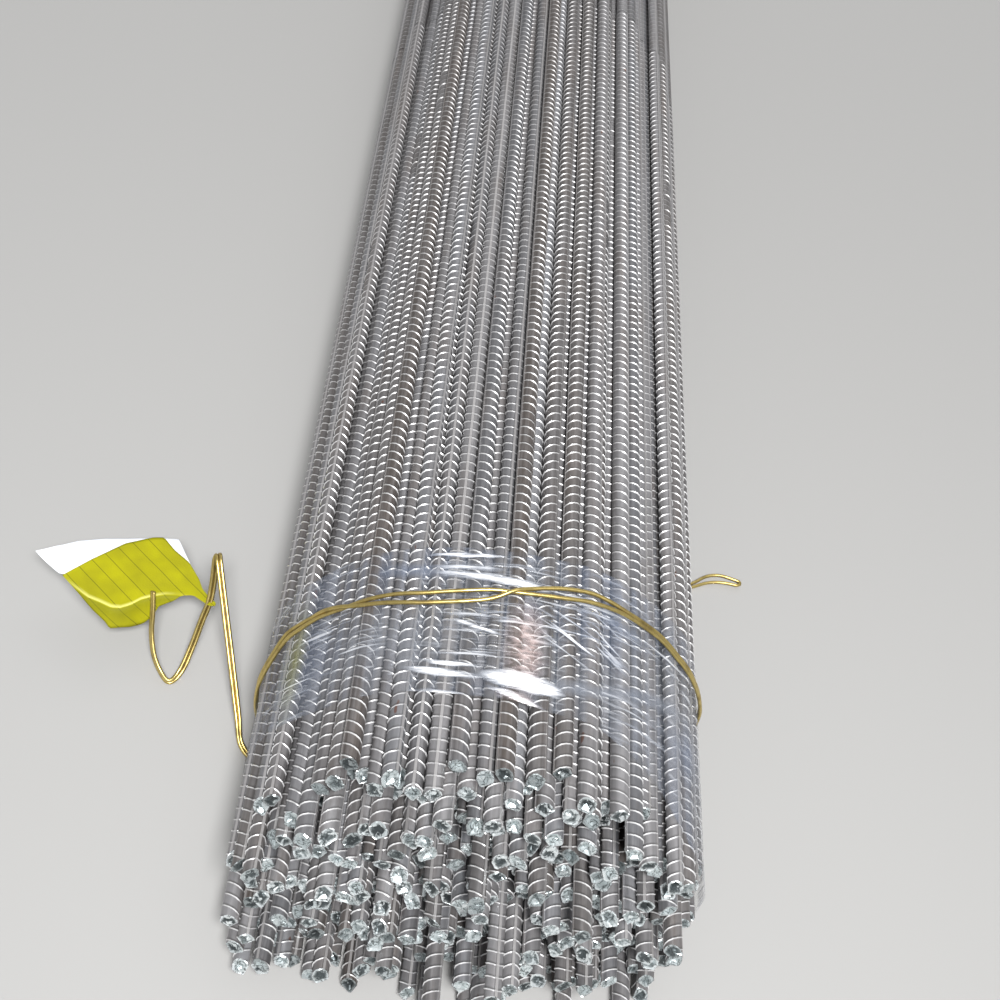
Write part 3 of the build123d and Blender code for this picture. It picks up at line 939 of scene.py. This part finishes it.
def clear_film():
    """Clear stretch film with a bluish haze, white streaks along the pull painted as highlights, smears of
    painted glare, a painted green reflection of the tag and a painted sheen at grazing angles.
    """
    r = Recipe("clear_film")
    flat = r.add("UVMap", uv_map="flat").outputs[0]
    x = r.parts(r.position())[0]
    span = r.parts(r.add("VertexColor", layer_name="span").outputs["Color"])[0]
    ragged = r.noise(r.scaled(flat, (60, 420, 0)), 3.0)
    wobble = r.add("TexNoise")
    wobble.inputs["Scale"].default_value = 1.0
    r.put(wobble.inputs["Vector"], r.scaled(flat, (40, 160, 0)))
    wander = r.add("VectorMath", operation="SCALE")
    wander.inputs["Scale"].default_value = 5 * MM
    r.put(wander.inputs[0], wobble.outputs["Color"])
    place = r.scaled(r.position(), (1, 1, 0), wander.outputs[0])

    # Painted highlights: white streaks along the pull and smears of glare make the film whiter and more
    # opaque.
    glare_streaks = r.ramp(r.noise(r.scaled(flat, (15, 300, 0)), 3.0, 0.4), (0.54, 0.0), (0.66, 1.0))
    patches = r.ramp(r.noise(r.scaled(flat, (9, 22, 0)), 1.0), (0.46, 0.0), (0.60, 1.0))
    fine = r.ramp(r.noise(r.scaled(flat, (55, 520, 0)), 2.0), (0.55, 0.0), (0.68, 1.0))
    glare = r.math("MULTIPLY", smears(r, place, GLARE_SMEARS), r.ramp(ragged, (0.30, 0.5), (0.55, 2.0)))
    glare_streak = r.math("MULTIPLY", glare_streaks, r.math("MULTIPLY", patches, 0.6))
    glare_streak = r.math("MAXIMUM", glare_streak, glare, clamp=True)
    slanted = r.noise(r.scaled(r.turned(flat, -28), (25, 330, 0)), 2.0)
    slanted = r.ramp(slanted, (0.56, 0.0), (0.64, 1.0))
    slanted = r.math("MULTIPLY", slanted, smear(r, place, *SLANTED_FIELD))
    glare_streak = r.math("MAXIMUM", glare_streak, slanted, clamp=True)

    haze = r.math("MULTIPLY", r.ramp(x, (0.07, 0.0), (0.16, 1.0)), 0.05)
    haze = r.math("ADD", haze, r.math("MULTIPLY", smears(r, place, BLUE_SMEARS), 0.22))
    haze = r.math("ADD", haze, r.math("MULTIPLY", span, 0.10))
    sparkle = r.math("MULTIPLY", fine, r.math("MULTIPLY", span, 0.18))
    # Painted sheen: the film grows more opaque at grazing angles.
    edge = r.add("LayerWeight")
    edge.inputs["Blend"].default_value = 0.35
    rim_highlight = r.math("MULTIPLY", edge.outputs["Facing"], 0.06)
    alpha = r.math("ADD", rim_highlight, r.math("MULTIPLY", glare_streak, 0.85))
    alpha = r.math("ADD", r.math("ADD", alpha, sparkle), haze)
    cloud = r.noise(r.scaled(flat, (10, 12, 0)), 1.0)
    tint = r.ramp(cloud, (0.35, (0.24, 0.29, 0.40)), (0.6, (0.31, 0.34, 0.40)))
    # Painted glare: pinkish smears, speckled.
    pink_glare = smears(r, place, PINK_GLARE_SMEARS)
    # Painted reflection of the yellow tag: a greenish smear.
    tag_reflection = smears(r, place, TAG_REFLECTION_SMEARS)
    tint = r.mix(r.math("MULTIPLY", pink_glare, 1.5, clamp=True), tint, (0.60, 0.47, 0.45))
    tint = r.mix(r.math("MULTIPLY", tag_reflection, 1.5, clamp=True), tint, (0.24, 0.25, 0.02))
    speckle = r.ramp(r.noise(r.scaled(flat, (160, 300, 0)), 3.0), (0.45, 0.3), (0.62, 2.2))
    alpha = r.math("ADD", alpha, r.math("MULTIPLY", r.math("MULTIPLY", pink_glare, speckle), 0.22))
    alpha = r.math("ADD", alpha, r.math("MULTIPLY", tag_reflection, 0.22), clamp=True)
    wrinkle = r.noise(r.scaled(flat, (25, 320, 0)), 3.0, 0.3)
    wrinkle = r.math("ADD", wrinkle, r.math("MULTIPLY", glare_streaks, 0.4))
    # The painted highlights and sparkle turn the film's colour white.
    white = r.math("MAXIMUM", glare_streak, r.math("MULTIPLY", sparkle, 2.0), clamp=True)
    r.set(Base_Color=r.mix(white, tint, (0.97, 0.98, 1.0)), Alpha=alpha, Roughness=0.14,
          Normal=r.bump(wrinkle, 0.8 * MM))
    return r.material


def brass_wire():
    """Drawn brass-coloured wire with dull brown patches."""
    r = Recipe("brass_wire")
    blotch = r.noise(r.scaled(r.position(), (90, 90, 90)), 3.0)
    scratches = r.noise(r.scaled(r.position(), (900, 900, 900)), 2.0)
    gold = r.mix(r.ramp(scratches, (0.3, 0.0), (0.7, 0.4)), (0.52, 0.40, 0.13), (0.72, 0.59, 0.27))
    gold = r.mix(r.ramp(blotch, (0.52, 0.0), (0.72, 0.55)), gold, (0.12, 0.075, 0.03))
    r.set(Base_Color=gold, Metallic=0.92,
          Roughness=r.ramp(blotch, (0.4, 0.32), (0.7, 0.46)), Normal=r.bump(scratches, 0.03 * MM))
    return r.material


def yellow_paper():
    """Bright yellow tag paper with fine ruled lines, painted shade just below the fold and a painted
    highlight along it.
    """
    r = Recipe("yellow_paper")
    flat = r.add("UVMap", uv_map="flat").outputs[0]
    u, v, _ = r.parts(flat)
    level = r.math("ADD", r.math("MULTIPLY", u, 0.60), r.math("MULTIPLY", v, 0.80))
    rules = r.ramp(r.math("FRACT", r.math("MULTIPLY", level, 8.5)), (0.0, 1.0), (0.045, 1.0), (0.06, 0.0))
    fibres = r.noise(r.scaled(flat, (60, 60, 0)), 4.0)
    soft = r.noise(r.scaled(flat, (4, 4, 0)), 2.0)
    paper = r.mix(r.ramp(soft, (0.35, 0.0), (0.7, 1.0)), (0.30, 0.285, 0.009), (0.39, 0.37, 0.007))
    paper = r.mix(r.math("MULTIPLY", rules, 0.75), paper, (0.10, 0.10, 0.01))
    fold = r.add("Attribute", attribute_name="fold").outputs["Fac"]
    # Painted shade: the paper is darker olive just below the fold.
    paper = r.mix(r.ramp(fold, (0.20, 0.0), (0.47, 0.7), (0.485, 0.0)), paper, (0.17, 0.17, 0.01))
    # Painted highlight: a pale line along the middle part of the fold.
    across = r.math("ADD", r.math("MULTIPLY", u, 0.5), 0.5)
    crease_highlight = r.ramp(across, (0.22, 0.1), (0.32, 1.0), (0.56, 1.0), (0.66, 0.1))
    shine = r.ramp(fold, (0.485, 0.0), (0.50, 0.8), (0.51, 0.8), (0.56, 0.0))
    crease_highlight = r.math("MULTIPLY", crease_highlight, shine)
    paper = r.mix(crease_highlight, paper, (0.72, 0.70, 0.20))
    r.set(Base_Color=paper, Roughness=0.6,
          Normal=r.bump(r.math("ADD", fibres, r.math("MULTIPLY", soft, 3.0)), 0.25 * MM))
    r.shader.inputs["Specular IOR Level"].default_value = 0.1
    return r.material


def white_paper():
    """Smooth white coated paper."""
    r = Recipe("white_paper")
    flat = r.add("UVMap", uv_map="flat").outputs[0]
    soft = r.noise(r.scaled(flat, (3, 3, 0)), 2.0)
    r.set(Base_Color=r.mix(r.ramp(soft, (0.35, 0.0), (0.7, 1.0)), (0.74, 0.77, 0.82), (0.86, 0.88, 0.91)),
          Roughness=0.45, Normal=r.bump(soft, 1.0 * MM))
    return r.material


def pale_floor():
    """Plain pale studio floor."""
    r = Recipe("pale_floor")
    r.set(Base_Color=(0.38, 0.376, 0.368, 1), Roughness=0.8)
    return r.material


make_bars([ribbed_steel(), cut_steel()])

FILM = clear_film()
rear = TIE_PLACES[0] + FILM_REAR
front_film = film_band("front_film", lambda x: along(FILM_FRONT, x), rear, 1, FRONT_CELLS, FILM)
attach(front_film, "film_band_1")
for number, place in enumerate(TIE_PLACES[1:], 2):
    rear = place + FILM_REAR
    front = rear - FILM_WIDTH
    band = film_band(f"film_{number}", lambda x, front=front: front, rear, number * 7, PLAIN_CELLS, FILM)
    attach(band, f"film_band_{number}")

make_ties(brass_wire())
yellow_tag = tag_sheet("yellow_tag", YELLOW_TOP, YELLOW_LOW, True, 0.0, yellow_paper())
attach(yellow_tag, "tag_yellow")
white_tag = tag_sheet("white_tag", WHITE_TOP, WHITE_LOW, False, 0.6 * MM, white_paper())
attach(white_tag, "tag_white")


# Floor, light and camera

def add_light(name, kind, energy, direction):
    """Add a light that shines in a direction, and return its object."""
    light = bpy.data.lights.new(name, kind)
    light.energy = energy
    obj = bpy.data.objects.new(name, light)
    bpy.context.scene.collection.objects.link(obj)
    obj.rotation_euler = Vector(direction).to_track_quat("-Z", "Y").to_euler()
    return obj


def area_light(name, place, target, size, power):
    """Add a square soft light that looks from a place at a target."""
    obj = add_light(name, "AREA", power, Vector(target) - Vector(place))
    obj.location = place
    obj.data.size = size


def make_stage():
    """Make the floor, the surrounding light and the lamps."""
    bpy.ops.mesh.primitive_plane_add(size=40, location=(0, 3, 0))
    floor = bpy.context.object
    floor.name = "floor"
    floor.data.materials.append(pale_floor())

    world = bpy.data.worlds.new("studio")
    bpy.context.scene.world = world
    world.use_nodes = True
    background = world.node_tree.nodes["Background"]
    background.inputs["Color"].default_value = (0.97, 0.98, 1.0, 1)
    background.inputs["Strength"].default_value = 0.4
    bpy.context.scene.view_settings.view_transform = "Standard"

    area_light("flash", (0.06, -0.45, 1.35), (0, 0.4, 0.1), 0.25, 17)
    area_light("overhead", (0.4, 3.4, 2.8), (0, 1.8, 0), 2.2, 18)
    key = add_light("key", "SUN", 2.6, (-0.1, 0.75, -1.2))
    key.data.angle = math.radians(14)


def make_camera():
    """Make the camera and let the scene use it."""
    pitch, yaw, roll = (math.radians(a) for a in (CAMERA_PITCH, CAMERA_YAW, CAMERA_ROLL))
    forward = Vector((math.sin(yaw) * math.cos(pitch), math.cos(yaw) * math.cos(pitch), -math.sin(pitch)))
    level = Vector((math.cos(yaw), -math.sin(yaw), 0))
    upright = level.cross(forward)
    right = level * math.cos(roll) + upright * math.sin(roll)
    up = right.cross(forward)
    data = bpy.data.cameras.new("camera")
    data.lens = LENS
    data.sensor_width = 36
    data.clip_start = 0.01
    data.clip_end = 100
    camera = bpy.data.objects.new("camera", data)
    bpy.context.scene.collection.objects.link(camera)
    turn = Matrix((right, up, -forward)).transposed().to_4x4()
    camera.matrix_world = Matrix.Translation(CAMERA_AT) @ turn
    bpy.context.scene.camera = camera


make_stage()
make_camera()
